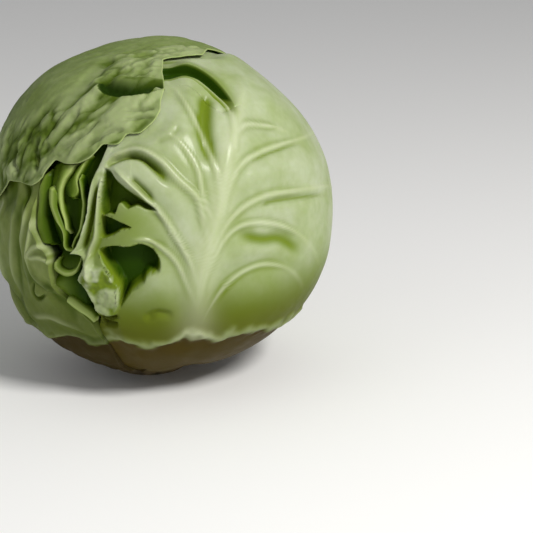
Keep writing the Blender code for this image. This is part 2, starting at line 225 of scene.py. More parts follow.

# The folded leaves in the gap at the front: left edge, right edge, the depths of both edges below the
# head's surface, how far the face between them swells out, how much painted shade the left edge, the middle
# and the right edge get from 0 for a pale lip with painted highlight to 1 for a dark fold, and how much more
# painted shade the far end gets
GAP_LEAVES = {
    "ruffled_leaf_1": ([(-32, 23), (-30, 17), (-29, 12), (-30, 5), (-32, 1), (-33.5, -3)],
                       [(-31, 23), (-28.6, 17), (-27.7, 12), (-28.8, 5), (-31, 1), (-33, -4)],
                       (3.2, 3.0), 0.4, (0.4, 0.05, 0.5), 0),
    "ruffled_leaf_2": ([(-30, 29), (-33, 25), (-34.5, 22), (-37, 18), (-35, 14)],
                       [(-28.5, 30), (-31, 24), (-32, 21), (-31, 17), (-33, 14.5)],
                       (4.6, 3.0), 0.7, (0.75, 0.45, 0.05), 0.2),
    "ruffled_leaf_3": ([(-39, 27), (-40, 22), (-41, 17), (-40, 14), (-38, 10), (-36, 6), (-35.5, 2)],
                       [(-33, 27), (-35, 23), (-37, 20), (-38, 16), (-37, 11), (-35.5, 7), (-34.3, 2)],
                       (3.6, 2.8), 0.8, (0.5, 0.32, 0.0), 0),
    "ruffled_leaf_4": ([(-43, 18), (-43, 15), (-42, 11), (-40, 7), (-37, 4), (-36, 1), (-36, -2),
                        (-33.5, -4.5)],
                       [(-40, 17), (-39, 14), (-39, 11), (-37, 7), (-35, 3), (-35, 0), (-34.5, -2),
                        (-32.5, -2.5)],
                       (2.4, 2.2), 0.8, (0.3, 0.08, 0.45), 0),
    "ruffled_leaf_5": ([(-45, 23), (-47, 16), (-47, 11), (-47.5, 6), (-47, 2), (-45.5, -1), (-43, -3)],
                       [(-44, 23), (-44, 16), (-44.5, 8), (-43.5, 5), (-42, 1), (-41, -3)],
                       (1.8, 3.6), 0.8, (0.22, 0.42, 0.7), 0.1),
    "ruffled_leaf_6": ([(-48, 26), (-47, 18), (-45, 10), (-43, 4), (-41, 0), (-38, -6)],
                       [(-37, 29), (-40, 22), (-41.5, 16), (-40, 10), (-37.5, 5), (-36.5, -2)],
                       (7.5, 4.6), 0.6, (0.9, 0.5, 0.55), 0.3),
    "cup_rim": ([(-40, -7), (-40.5, -10.5), (-37, -12.3), (-32.5, -11.5), (-30, -8.5), (-28.3, -4)],
                [(-38, -6.5), (-37.8, -9), (-34.5, -10), (-31.5, -8.8), (-29.8, -6.5), (-27.8, -3)],
                (2.0, 2.2), 0.7, (0.25, 0.05, 0.4), 0),
    "olive_leaf": ([(-44, -15), (-39, -12.5), (-35, -11), (-30, -10), (-26, -12)],
                   [(-44, -17), (-41, -18.3), (-37, -19.3), (-33, -21), (-28, -23)],
                   (5.0, 2.8), 1.0, (0.75, 0.45, 0.32), 0.55),
    "finger_fold": ([(-35.8, -19.3), (-34, -19.5), (-31, -21.6), (-27.5, -24), (-25.5, -27)],
                    [(-36.2, -21), (-35, -22.5), (-32, -24.7), (-29, -26.5), (-26.5, -29)],
                    (1.0, 0.8), 1.2, (0.2, 0.0, 0.5), 0),
}
# Backs of the gap's hollows, in the same form, painted dark as shade
GAP_BACKS = {
    "almond_hollow": ([(-37, 25), (-38, 20), (-39, 16), (-38.5, 10), (-37, 6), (-36, 2), (-35, -4)],
                      [(-30, 29), (-31.5, 22), (-29.3, 17), (-28.6, 12), (-29.6, 5), (-31.6, -1), (-34, -4)],
                      (5.0, 4.4), -5.0, (0.8, 0.82, 0.62), 0),
    "cup_hollow": ([(-39, -8), (-38, -10), (-34.5, -11), (-31.5, -9.5), (-29, -5)],
                   [(-39, -4), (-37, -4), (-35, -3.5), (-32, -3), (-29, -2)],
                   (3.4, 9.0), 0.0, (0.5, 0.75, 1.0), 0),
    "gap_hollow": ([(-88, 44), (-82, 20), (-76, -10), (-58, -36)],
                   [(-10, 48), (-18, 14), (-20, -10), (-18, -34)],
                   (9.0, 9.0), -1.0, (0.8, 0.8, 0.8), 0),
}

STRIP_BEYOND = 7.0  # how many millimetres the finer strip reaches beyond both edges of the fold
# What a leaf's material reads at each point, from 0 to 1: painted shade in grooves and creases, a pale vein
# with painted highlight on crests, painted shade in a depth, painted shade in a hollow with a crisp edge,
# painted highlight on the margin and lips, and the brown base with painted shade low down
TONES = ("shade_and_fleck", "vein_and_crest_light", "depth_shade", "hollow_shade", "pale_rim_and_edge_light", "brown_base_and_shade")
HOLE_SPAN = 8.0  # the painted hollow shade is 0.5 at a hollow's edge and changes by 1 over this many millimetres
HOLE_EDGE = 0.1  # how far above 0.5 it rises to the full dark of the painted shade
# Grid cells along each side of a leaf
FINE_CELLS = 216
BACK_CELLS = 150
UNDER_CELLS = 96

# Leaf colours as a screen shows them, 0 to 255
# The olive shade colour and the dark depth colour are painted shade (the depth colour also the deeper green
# of inner leaves), the olive also gives random flecks, the pale vein colour is also a painted highlight on
# crests, the pale rim colour is a painted highlight on margins and lips, and the brown is brown tissue
# darkened with painted shade
FRONT_COLOURS = {
    "blade": (147, 161, 110), "blade_light": (169, 179, 145), "shade_and_fleck": (101, 121, 24),
    "vein_and_crest_light": (192, 200, 163), "depth_shade": (38, 64, 0), "pale_rim_and_edge_light": (188, 200, 142),
    "brown_base_and_shade": (70, 58, 12),
}
CROWN_COLOURS = {
    "blade": (108, 126, 60), "blade_light": (127, 143, 86), "shade_and_fleck": (68, 87, 14),
    "vein_and_crest_light": (160, 171, 126), "depth_shade": (28, 48, 1), "pale_rim_and_edge_light": (180, 196, 130),
    "brown_base_and_shade": (60, 50, 20),
}
SIDE_COLOURS = {
    "blade": (104, 120, 48), "blade_light": (126, 140, 74), "shade_and_fleck": (70, 90, 4),
    "vein_and_crest_light": (160, 171, 122), "depth_shade": (34, 56, 0), "pale_rim_and_edge_light": (150, 164, 104),
    "brown_base_and_shade": (56, 46, 16),
}
INNER_COLOURS = {
    "blade": (108, 130, 44), "blade_light": (122, 143, 58), "shade_and_fleck": (76, 100, 10),
    "vein_and_crest_light": (186, 198, 136), "depth_shade": (30, 54, 1), "pale_rim_and_edge_light": (158, 175, 100),
    "brown_base_and_shade": (66, 56, 26),
}
STEM_DARK, STEM_PALE = (70, 58, 34), (140, 122, 84)
HEART_DARK, HEART_PALE = (150, 165, 80), (200, 205, 130)
LEAF_SHINE = 0.05  # how strongly the bare blade reflects, where 0.5 is usual
LIGHT_IN_LEAF = 0.12  # the share of the light that scatters within the blade
SCATTER_RADIUS = (0.6, 1.0, 0.3)
SCATTER_SCALE = 0.003  # metres

CAMERA_ELEVATION = 15.0
CAMERA_DISTANCE = 1.0
LENS = 123.0
FRAME_WIDTH = 0.292  # metres that the picture's width covers at the head
HEAD_RIGHT_OF_MIDDLE = -0.190  # where the head's centre stands, in picture widths from the middle
HEAD_ABOVE_MIDDLE = 0.123
# Lights: place from the head's centre and width in metres, power in watts, colour
LIGHTS = {
    "key": ((0.75, -0.95, 1.0), 0.40, 23, (1.0, 0.985, 0.95)),
    "fill": ((-1.2, -0.8, 0.7), 1.2, 1.4, (0.95, 0.98, 1.0)),
}
SURROUNDING_LIGHT = 0.34
FLOOR_HALF = 4.0
FLOOR_COLOUR = (0.9, 0.9, 0.9)
FLOOR_ROUGHNESS = 0.9


# ---- Places on the head ----


def direction(longitude, latitude):
    """Unit vectors from the head's centre. Angles are in degrees."""
    longitude, latitude = np.radians(longitude), np.radians(latitude)
    level = np.cos(latitude)
    return np.stack((level * np.sin(longitude), -level * np.cos(longitude), np.sin(latitude)), -1)


def smooth_step(x):
    """From 0 at 0 to 1 at 1, level at both ends."""
    x = np.clip(x, 0, 1)
    return x * x * (3 - 2 * x)


def head_radius(towards):
    """Distance from the head's centre to its outside, towards each unit vector."""
    level = np.hypot(towards[..., 0], towards[..., 1]) / HEAD_RADIUS
    upright = np.abs(towards[..., 2]) / HEAD_HALF_HEIGHT
    return (level**ROUNDNESS + upright**ROUNDNESS) ** (-1 / ROUNDNESS)


def compass(middle):
    """East, north and outward at the middle of a leaf."""
    outward = direction(*middle)
    east = np.cross((0.0, 0.0, 1.0), outward)
    east /= np.linalg.norm(east)
    return east, np.cross(outward, east), outward


def bearing_and_reach(middle, towards):
    """Degrees round from north and degrees away, seen from the middle of a leaf."""
    east, north, outward = compass(middle)
    bearing = np.degrees(np.arctan2(towards @ east, towards @ north))
    return bearing, np.degrees(np.arccos(np.clip(towards @ outward, -1, 1)))


def place_from(middle, bearing, reach):
    """Unit vectors at these bearings and reaches from the middle of a leaf."""
    east, north, outward = compass(middle)
    bearing, reach = np.radians(bearing)[..., None], np.radians(reach)[..., None]
    return np.cos(reach) * outward + np.sin(reach) * (np.sin(bearing) * east + np.cos(bearing) * north)


def margin_reach(middle, margin, bearing):
    """The angle from a leaf's middle to its margin at each bearing, with the corners rounded."""
    own_bearing, own_reach = bearing_and_reach(middle, direction(*np.transpose(margin)))
    steps = np.arange(0, 360, 0.5)
    reach = np.interp(steps, own_bearing, own_reach, period=360)
    near = np.arange(-5, 6)
    weights = np.exp(-((near / 2.5) ** 2))
    reach = sum(w * np.roll(reach, n) for n, w in zip(near, weights)) / weights.sum()
    return np.interp(bearing, steps, reach, period=360)


def clear_of_stem(towards):
    """Moves points that come nearer the foot than the leaf bases do out to where those are."""
    base = math.radians(LEAF_BASE_LATITUDE)
    level = np.hypot(towards[:, 0], towards[:, 1])
    on_base = np.stack((
        towards[:, 0] * math.cos(base) / level,
        towards[:, 1] * math.cos(base) / level,
        np.full(len(towards), math.sin(base)),
    ), -1)
    return np.where(towards[:, 2:] < math.sin(base), on_base, towards)


def smooth_path(places, count=60, closed=False):
    """Unit vectors spread along a smooth curve through a list of places."""
    control = direction(*np.transpose(places))
    if closed:
        padded = np.vstack((control[-1:], control, control[:2]))
        spans = len(control)
    else:
        padded = np.vstack((2 * control[0] - control[1], control, 2 * control[-1] - control[-2]))
        spans = len(control) - 1
    along = np.linspace(0, spans - 1e-9, count)
    first = along.astype(int)
    t = (along - first)[:, None]
    p0, p1, p2, p3 = (padded[first + n] for n in range(4))
    curve = p0 * -t * (1 - t) ** 2 + p1 * (2 - 5 * t**2 + 3 * t**3)
    curve += p2 * t * (1 + 4 * t - 3 * t**2) + p3 * (t - 1) * t**2
    return curve / np.linalg.norm(curve, axis=1, keepdims=True)


def near_curve(towards, path):
    """Millimetres to the path, share of the way along it, which side (+ is left), and nearest point."""
    least = np.full(len(towards), np.inf)
    along, side = np.zeros(len(towards)), np.zeros(len(towards))
    nearest = np.zeros_like(towards)
    for n in range(len(path) - 1):
        start, step = path[n], path[n + 1] - path[n]
        t = np.clip(((towards - start) @ step) / (step @ step), 0, 1)
        foot = start + t[:, None] * step
        gap = towards - foot
        squared = np.einsum("ij,ij->i", gap, gap)
        nearer = squared < least
        least[nearer] = squared[nearer]
        along[nearer] = (n + t[nearer]) / (len(path) - 1)
        side[nearer] = np.sign(gap[nearer] @ np.cross(start, step))
        nearest[nearer] = foot[nearer]
    return np.sqrt(least) * HEAD_RADIUS / MM, along, side, nearest


def inside(towards, path):
    """True for the unit vectors within a closed path, judged on a plane touching its middle."""
    outward = path.mean(0) / np.linalg.norm(path.mean(0))
    east = np.cross((0.0, 0.0, 1.0), outward)
    east /= np.linalg.norm(east)
    axes = np.stack((east, np.cross(outward, east)), -1)
    flat = towards @ axes / np.maximum(towards @ outward, 0.05)[:, None]
    corners = path @ axes / (path @ outward)[:, None]
    crossings = np.zeros(len(towards), int)
    for (ax, ay), (bx, by) in zip(corners, np.roll(corners, -1, axis=0)):
        spans = (ay > flat[:, 1]) != (by > flat[:, 1])
        at = ax + (flat[:, 1] - ay) * (bx - ax) / (by - ay if by != ay else 1)
        crossings += spans & (flat[:, 0] < at)
    return (crossings % 2 == 1) & (towards @ outward > 0.3)


def field(towards, size, octaves=3, seed=0.0):
    """Noise from about -1 to 1 whose features are `size` millimetres across."""
    points = towards * (HEAD_RADIUS / MM / size) + seed
    return np.array([noise.fractal(Vector(p), 1.0, 2.0, octaves) for p in points])


# ---- Sheets ----


def disc_grid(cells):
    """A square grid pressed into a disc: its points' angles in degrees, radii from 0 to 1, faces."""
    line = np.linspace(-1, 1, cells + 1)
    a, b = np.meshgrid(line, line, indexing="ij")
    wide = np.abs(a) > np.abs(b)
    radius = np.where(wide, a, b)
    safe = np.where(radius == 0, 1, radius)
    angle = np.where(wide, 45 * b / safe, 90 - 45 * a / safe)
    angle = np.where(radius < 0, angle + 180, angle)
    return angle.ravel(), np.abs(radius).ravel(), grid_faces(cells + 1, cells + 1)


def grid_faces(rows, columns):
    """The four corners of each cell of a grid of points."""
    corner = np.arange(rows * columns).reshape(rows, columns)
    quads = (corner[:-1, :-1], corner[:-1, 1:], corner[1:, 1:], corner[1:, :-1])
    return np.stack([q.ravel() for q in quads], -1)


def add_sheet(name, towards, radius, faces, tones, look, node=None):
    """A leaf from its outer face, with its tones as attributes that the material reads."""
    points = HEAD_CENTRE + radius[:, None] * towards
    centres = points[faces].mean(1)
    across = np.cross(points[faces[:, 2]] - points[faces[:, 0]], points[faces[:, 3]] - points[faces[:, 1]])
    if np.einsum("ij,ij->", across, centres - HEAD_CENTRE) < 0:
        faces = faces[:, ::-1]
    mesh = bpy.data.meshes.new(name)
    mesh.from_pydata(points.tolist(), [], faces.tolist())
    for tone in TONES:
        values = np.clip(tones.get(tone, np.zeros(len(points))), 0, 1)
        mesh.attributes.new(tone, "FLOAT", "POINT").data.foreach_set("value", values.astype(np.float32))
    mesh.shade_smooth()
    mesh.materials.append(look)
    sheet = bpy.data.objects.new(name, mesh)
    bpy.context.scene.collection.objects.link(sheet)
    thick = sheet.modifiers.new("blade", "SOLIDIFY")
    thick.thickness = BLADE
    thick.offset = -1
    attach(sheet, "root")
    if node:
        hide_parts(node)


def coverage(leaf, towards):
    """1 under a leaf and just past its margin, falling to 0 beyond."""
    middle, margin = OUTER_LEAVES[leaf]
    bearing, reach = bearing_and_reach(middle, towards)
    beyond = reach - margin_reach(middle, margin, bearing)
    sure, fall = 1.5, 7.0
    return 1 - smooth_step((beyond - sure) / fall)


def form(towards):
    """Millimetres that the whole head departs from its plain round shape by."""
    swell = 0.0
    for place, height, spread in SWELLS:
        apart = np.arccos(np.clip(towards @ direction(*place), -1, 1))
        swell = swell + height * np.exp(-((apart / spread) ** 2))
    return swell


def covered(leaf, towards):
    """How many leaves lie over each place of a leaf."""
    names = list(OUTER_LEAVES)
    return sum((coverage(n, towards) for n in names[: names.index(leaf)]), np.zeros(len(towards)))


def leaf_radius(leaf, towards, height):
    """Distance from the head's centre to a leaf, pressed flat where other leaves lie over it."""
    over = covered(leaf, towards)
    spacing = UNDER_LAYER if leaf.startswith("under") else LAYER
    pressed = np.where(height > 0, height * (1 - np.clip(over, 0, 1)), height)
    return head_radius(towards) + (form(towards) + pressed) * MM - spacing * over


def ribs_height(towards, ribs, puff_width=9.0):
    """Height of the ribs, how much of each point is rib, millimetres to the nearest rib, and how far
    the blade puffs out between the ribs, from 0 to 1."""
    height, tone = np.zeros(len(towards)), np.zeros(len(towards))
    nearest, puff = np.full(len(towards), 99.0), np.ones(len(towards))
    for places, widths, heights in ribs:
        distance, along, _, _ = near_curve(towards, smooth_path(places))
        width = widths[0] + (widths[1] - widths[0]) * along
        tall = (heights[0] + (heights[1] - heights[0]) * along) * smooth_step((1 - along) / 0.12)
        profile = np.exp(-((distance / width) ** 2)) * smooth_step(0.3 + along / 0.2)
        height = np.maximum(height, tall * profile)
        tone = np.maximum(tone, profile * smooth_step((1 - along) / 0.25))
        fading = 1 - smooth_step((along - 0.6) / 0.4)
        nearest = np.minimum(nearest, distance + 6 * (1 - fading))
        puff *= 1 - np.exp(-((distance / puff_width) ** 2)) * fading
    return height, tone, nearest, puff


def leaf_grid(name, cells):
    """Points that fill a leaf, each one's share of the way to the margin, and faces."""
    middle, margin = OUTER_LEAVES[name]
    bearing, share, faces = disc_grid(cells)
    reach = share * margin_reach(middle, margin, bearing)
    return clear_of_stem(place_from(middle, bearing, reach)), share, faces


def latitude_of(towards):
    """Degrees up from the level of the head's centre."""
    return np.degrees(np.arcsin(np.clip(towards[..., 2], -1, 1)))


def longitude_of(towards):
    """Degrees round from the front."""
    return np.degrees(np.arctan2(towards[..., 0], -towards[..., 1]))


def above_base(towards):
    """Degrees above the uneven upper limit of the brown tissue round the stem, highest at the front."""
    ragged = 4 * field(towards, 20, 2, 31.0) + 1.5 * field(towards, 7, 2, 37.0)
    limit = -41 + 6 * np.cos(np.radians(longitude_of(towards) - 5)) + ragged
    return latitude_of(towards) - limit


def brown_at_base(towards):
    """How brown each place is, from 0 to 1: the brown tissue round the stem, whose colour is painted darker
    as shade.
    """
    return smooth_step(-above_base(towards) / 2.5)


def base_rim(towards):
    """How much of the raised rim each place just above the brown tissue is."""
    return np.exp(-(((above_base(towards) - 1.2) / 1.4) ** 2))


def valleys_depth(towards, valleys):
    """Millimetres that the valleys sink the surface by, fading at their ends."""
    sunk = np.zeros(len(towards))
    for places, depth, width in valleys:
        distance, along, _, _ = near_curve(towards, smooth_path(places))
        ends = smooth_step(along / 0.25) * smooth_step((1 - along) / 0.25)
        sunk = np.maximum(sunk, depth * np.exp(-((distance / width) ** 2)) * ends)
    return sunk


def between(towards, first_edge, second_edge):
    """Whether each place is between two edges that run the same way, and millimetres to both."""
    first, second = smooth_path(first_edge), smooth_path(second_edge)
    within = inside(towards, np.vstack((first, second[::-1])))
    return within, near_curve(towards, first)[0], near_curve(towards, second)[0]


def closed_path(outline):
    """A smooth closed curve whose last point is its first."""
    path = smooth_path(outline, 90, closed=True)
    return np.vstack((path, path[:1]))


def snap_to(towards, paths, within):
    """Points closer than `within` millimetres to a path are moved onto it, which keeps it crisp."""
    for path in paths:
        distance, _, _, nearest = near_curve(towards, path)
        towards = np.where((distance < within)[:, None], nearest, towards)
    return towards


def front_hollows(towards, off_flap):
    """Depth of the front leaf's valleys and hollows, and millimetres inside a hollow's part painted dark as
    shade.
    """
    sunk, dark = valleys_depth(towards, FRONT_VALLEYS), np.full(len(towards), -9.0)
    for outline, depth, slope, dark_from in FRONT_HOLLOWS:
        path = closed_path(outline)
        within = near_curve(towards, path)[0] * np.where(inside(towards, path), 1, -1)
        sunk = np.maximum(sunk, depth * smooth_step(within / slope))
        dark = np.maximum(dark, within * off_flap - dark_from)
    return sunk, np.minimum(dark, HOLE_SPAN * HOLE_EDGE * (0.9 + 0.7 * field(towards, 14, 2, 9.0)))


def front_fold(towards, in_fold, below_lid, above_lip):
    """Depth of the front leaf's long fold, millimetres inside its part painted dark as shade, height of the
    lid over it.
    """
    way_in = np.where(in_fold, 1, -1)
    depth = FRONT_FOLD[2] * smooth_step(below_lid / 2.4) * smooth_step(above_lip / 9) * in_fold
    dark_above_lip = 1.0 + 4.5 * smooth_step((longitude_of(towards) - 10) / 14)
    dark = np.minimum(way_in * below_lid - 0.1, way_in * above_lip - dark_above_lip)
    return depth, dark, np.exp(-((below_lid / 3) ** 2)) * smooth_step(above_lip / 4)


def front_shade(towards, from_margin):
    """How shaded the front leaf is low down, and on the left beside its margin."""
    latitude, longitude = latitude_of(towards), longitude_of(towards)
    low = smooth_step((-2 - latitude) / 24)
    leftward = smooth_step((6 - longitude) / 20) * smooth_step((24 - latitude) / 14)
    return np.maximum(low, 0.75 * leftward * smooth_step((from_margin - 3) / 4))


def front_surface(towards):
    """Height of the front leaf's face at each place, and its tones."""
    flap_path = closed_path(FRONT_FLAP[0])
    on_flap = inside(towards, flap_path) * smooth_step(near_curve(towards, flap_path)[0] / 2.0)
    off_flap = 1 - on_flap
    ripple = field(towards, 8, 3, 5.0)
    flap_height = (FRONT_FLAP[1] + 1.6 * ripple) * on_flap

    sunk, dark = front_hollows(towards, off_flap)
    in_fold, below_lid, above_lip = between(towards, FRONT_FOLD[0], FRONT_FOLD[1])
    fold, fold_dark, lid = front_fold(towards, in_fold, below_lid, above_lip)
    sunk = np.maximum(sunk, fold) * off_flap

    from_margin = near_curve(towards, smooth_path(FRONT_LEFT_MARGIN, 120))[0]
    lip = 2.2 * np.exp(-(((from_margin - 1.6) / 1.5) ** 2))
    inward = 15 * (1 - smooth_step((from_margin - 0.1) / 1.2))
    pale_rim_and_edge_light, brown_base_and_shade = base_rim(towards), brown_at_base(towards)
    height, rib_tone, from_rib, puff = ribs_height(towards, FRONT_RIBS)
    height += 3.0 * puff - 1.8 + 0.8 * field(towards, 34, 2, 3.0)
    height = height + lid + np.maximum(lip, flap_height) - sunk - inward + 1.2 * pale_rim_and_edge_light - 1.2 * brown_base_and_shade

    beside_rib = np.exp(-(((from_rib - 2.2) / 1.3) ** 2))
    above_lid = np.exp(-((below_lid / 3.5) ** 2)) * ~in_fold
    # painted shade: the front leaf turns darker and browner low down
    low_shade = 0.55 * smooth_step((-10 - latitude_of(towards)) / 24) * off_flap * (1 - 0.6 * pale_rim_and_edge_light)
    tones = {
        "vein_and_crest_light": 0.5 * rib_tone + 0.35 * pale_rim_and_edge_light,
        # painted shade beside the ribs, in the valleys, hollows and fold, on the flap's ripples, under the
        # lid, low down and towards the left
        "shade_and_fleck": 0.42 * beside_rib + smooth_step(sunk / 2.6)
        + front_shade(towards, from_margin) * (1 - 0.9 * on_flap)
        + on_flap * smooth_step(0.4 - 1.6 * ripple) + 0.7 * in_fold + 0.6 * above_lid,
        # painted shade deep in the hollows and where the margin turns in
        "depth_shade": smooth_step((sunk - 4.5) / 5.0) + smooth_step((inward - 3) / 5),
        # painted shade inside the hollows and the fold, crisp at their edges
        "hollow_shade": 0.5 + np.maximum(dark, fold_dark) / HOLE_SPAN,
        # the brown base, and painted shade low down
        "brown_base_and_shade": brown_base_and_shade + low_shade,
    }
    return height, tones


def add_front_leaf(look):
    """The big pale leaf at the front, pressed in where its fold's own strip lies over it."""
    towards, share, faces = leaf_grid("front_leaf", FINE_CELLS)
    towards = snap_to(towards, [closed_path(hollow[0]) for hollow in FRONT_HOLLOWS], 0.3)
    height, tones = front_surface(towards)
    in_fold, to_lid, to_lip = between(towards, FRONT_FOLD[0], FRONT_FOLD[1])
    from_fold = np.where(in_fold, 0, np.minimum(to_lid, to_lip))
    along = near_curve(towards, smooth_path(FRONT_FOLD[1]))[1]
    under_strip = smooth_step((0.65 * STRIP_BEYOND - from_fold) / 2) * smooth_step((1 - along) / 0.1)
    # painted highlight along the margin
    tones["pale_rim_and_edge_light"] = smooth_step((share - 0.993) / 0.006)
    radius = leaf_radius("front_leaf", towards, height - 3.5 * under_strip)
    add_sheet("front_leaf_blade", towards, radius, faces, tones, look, "front_leaf")


def add_front_fold(look):
    """The front leaf's long fold once more, on a finer grid that runs along it and covers the leaf there."""
    rows, columns = 170, 97
    lid, lip = smooth_path(FRONT_FOLD[0], rows)[:, None], smooth_path(FRONT_FOLD[1], rows)[:, None]
    width = np.linalg.norm(lip - lid, axis=2, keepdims=True) * HEAD_RADIUS / MM
    across = np.linspace(-1, 2, columns)[None, :, None]
    within = np.clip(across, 0, 1)
    share = within + (across - within) * STRIP_BEYOND / width
    towards = lid * (1 - share) + lip * share
    towards = (towards / np.linalg.norm(towards, axis=2, keepdims=True)).reshape(-1, 3)
    to_end = np.linspace(1, 0, rows)[:, None, None]
    shown = smooth_step((1 - np.abs(across - within)) / 0.3) * smooth_step(to_end / 0.06)
    height, tones = front_surface(towards)
    radius = leaf_radius("front_leaf", towards, height + 0.2 - 1.5 * (1 - shown.ravel()))
    add_sheet("front_leaf_fold", towards, radius, grid_faces(rows, columns), tones, look)


def crinkle(towards, size, along, stretch, seed):
    """Sharp creases that run one way, from 0 in a crease to 1 on the crests."""
    along = np.array(along) / np.linalg.norm(along)
    squeezed = towards - (1 - 1 / stretch) * (towards @ along)[:, None] * along
    return np.abs(field(squeezed, size, 3, seed))


def add_crown_leaf(look):
    """The crinkled leaf over the top, with the pocket beside the front leaf."""
    towards, share, faces = leaf_grid("crown_leaf", FINE_CELLS)
    broad = crinkle(towards, 24, CROWN_CREASE_WAY, 2.6, 11.0)
    narrow = crinkle(towards, 11, CROWN_CREASE_WAY, 2.2, 23.0)
    small = crinkle(towards, 6, CROWN_CREASE_WAY, 1.6, 5.0)
    creases = valleys_depth(towards, CROWN_CREASES)
    away, _, side, _ = near_curve(towards, smooth_path(CROWN_SMOOTH_EDGE, 90))
    crinkled = 0.22 + 0.78 * smooth_step(0.5 + side * away / 12)
    height = 1.8 * smooth_step(broad / 0.5) + 1.1 * smooth_step(narrow / 0.4) + 0.4 * small - 1.8
    height = height * crinkled + 1.2 * field(towards, 44, 2, 41.0)
    height *= 0.3 + 0.7 * smooth_step((1 - share) / 0.08)
    in_pocket, above_lip, below_top = between(towards, CROWN_POCKET[0], CROWN_POCKET[1])
    way_up = above_lip / (above_lip + below_top + 0.01)
    sunk = CROWN_POCKET[2] * smooth_step(above_lip / 3.6) * (1 - smooth_step(way_up)) * in_pocket
    lip = 1.6 * np.exp(-((above_lip / 3) ** 2)) * smooth_step(below_top / 4)
    pocket_shade = HOLE_EDGE * (1 - smooth_step((way_up - 0.4) / 0.55))
    radius = leaf_radius("crown_leaf", towards, height + lip - sunk - creases)
    # painted shade in the troughs of the wrinkles
    wrinkles = 0.85 * (1 - smooth_step(broad / 0.18)) + 0.4 * (1 - smooth_step(narrow / 0.14))
    tones = {
        # painted highlight on the raised crests, less in the pocket
        "vein_and_crest_light": 0.6 * smooth_step((height + 0.9) / 1.9) * crinkled * (1 - 0.8 * in_pocket),
        # painted shade in the wrinkles, the creases and the pocket
        "shade_and_fleck": crinkled * wrinkles
        + smooth_step(creases / 2.2) + in_pocket * (0.4 + 0.6 * (1 - smooth_step(way_up))),
        # painted shade in the pocket, crisp at its lower lip
        "hollow_shade": 0.5 + np.minimum(above_lip * np.where(in_pocket, 1, -1) / HOLE_SPAN, pocket_shade),
        # painted highlight along the margin
        "pale_rim_and_edge_light": 0.6 * smooth_step((share - 0.995) / 0.004),
        "brown_base_and_shade": brown_at_base(towards),
    }
    add_sheet("crown_leaf_blade", towards, radius, faces, tones, look, "crown_leaf")


def add_side_leaf(look):
    """The dark folded leaf on the left, behind the gap."""
    towards, share, faces = leaf_grid("side_leaf", FINE_CELLS)
    folds = crinkle(towards, 34, SIDE_FOLD_WAY, 2.6, 57.0)
    ridges, ridge_tone, _, _ = ribs_height(towards, SIDE_RIBS)
    valleys = valleys_depth(towards, SIDE_VALLEYS)
    height = 1.8 * smooth_step(folds / 0.45) + ridges - valleys - 1.6 + 0.7 * field(towards, 18, 2, 63.0)
    rim_roll = 0.7 * np.exp(-(((0.975 - share) / 0.02) ** 2))
    inward = 9 * smooth_step((share - 0.985) / 0.015)
    # painted shade low down, which darkens the olive and brown tones
    low = smooth_step((-12 - latitude_of(towards)) / 22)
    pale_rim_and_edge_light, brown_base_and_shade = base_rim(towards), brown_at_base(towards)
    radius = leaf_radius("side_leaf", towards, height + rim_roll - inward + 1.2 * pale_rim_and_edge_light - 1.2 * brown_base_and_shade)
    tones = {
        # painted highlight on the raised folds and ridges, and the pale base rim
        "vein_and_crest_light": 0.6 * smooth_step((height + 0.1) / 2.2) + 0.3 * ridge_tone + 0.3 * pale_rim_and_edge_light,
        # painted shade in the folds' troughs, in the valleys and low down
        "shade_and_fleck": 0.9 * (1 - smooth_step(folds / 0.22)) + smooth_step(valleys / 1.5) + 0.5 * low,
        # painted shade where the margin turns in
        "depth_shade": smooth_step((inward - 3) / 4),
        # the brown base, and painted shade low down
        "brown_base_and_shade": brown_base_and_shade + 0.25 * low,
    }
    add_sheet("side_leaf_blade", towards, radius, faces, tones, look, "side_leaf")


def fan_of_ribs(middle):
    """A midrib up the middle of a plain leaf and side veins that leave it in pairs."""
    longitude = middle[0]
    ribs = [([(longitude, -73), (longitude, -30), (longitude, 10), (longitude, 45)], (8, 1.5), (3.5, 1.0))]
    for rise in (-42, -22, -2, 18):
        for way in (-1, 1):
            course = ((0, 0), (14, 13), (34, 22), (58, 26))
            places = [(longitude + away * way, rise + up) for away, up in course]
            ribs.append((places, (2.4, 0.9), (1.7, 0.7)))
    return ribs


def add_plain_leaf(name, look, cells):
    """A leaf of the back or of the layer beneath, with a midrib and side veins."""
    towards, share, faces = leaf_grid(name, cells)
    height, rib_tone, from_rib, puff = ribs_height(towards, fan_of_ribs(OUTER_LEAVES[name][0]))
    height += 1.8 * puff - 1.2 + 0.6 * field(towards, 28, 2, 17.0)
    radius = leaf_radius(name, towards, height)
    tones = {
        "vein_and_crest_light": 0.45 * rib_tone,
        # painted shade beside the ribs
        "shade_and_fleck": np.exp(-(((from_rib - 3.4) / 2.2) ** 2)) * 0.5,
        # painted highlight along the margin
        "pale_rim_and_edge_light": smooth_step((share - 0.99) / 0.01),
        "brown_base_and_shade": brown_at_base(towards),
    }
    add_sheet(name + "_blade", towards, radius, faces, tones, look, name)


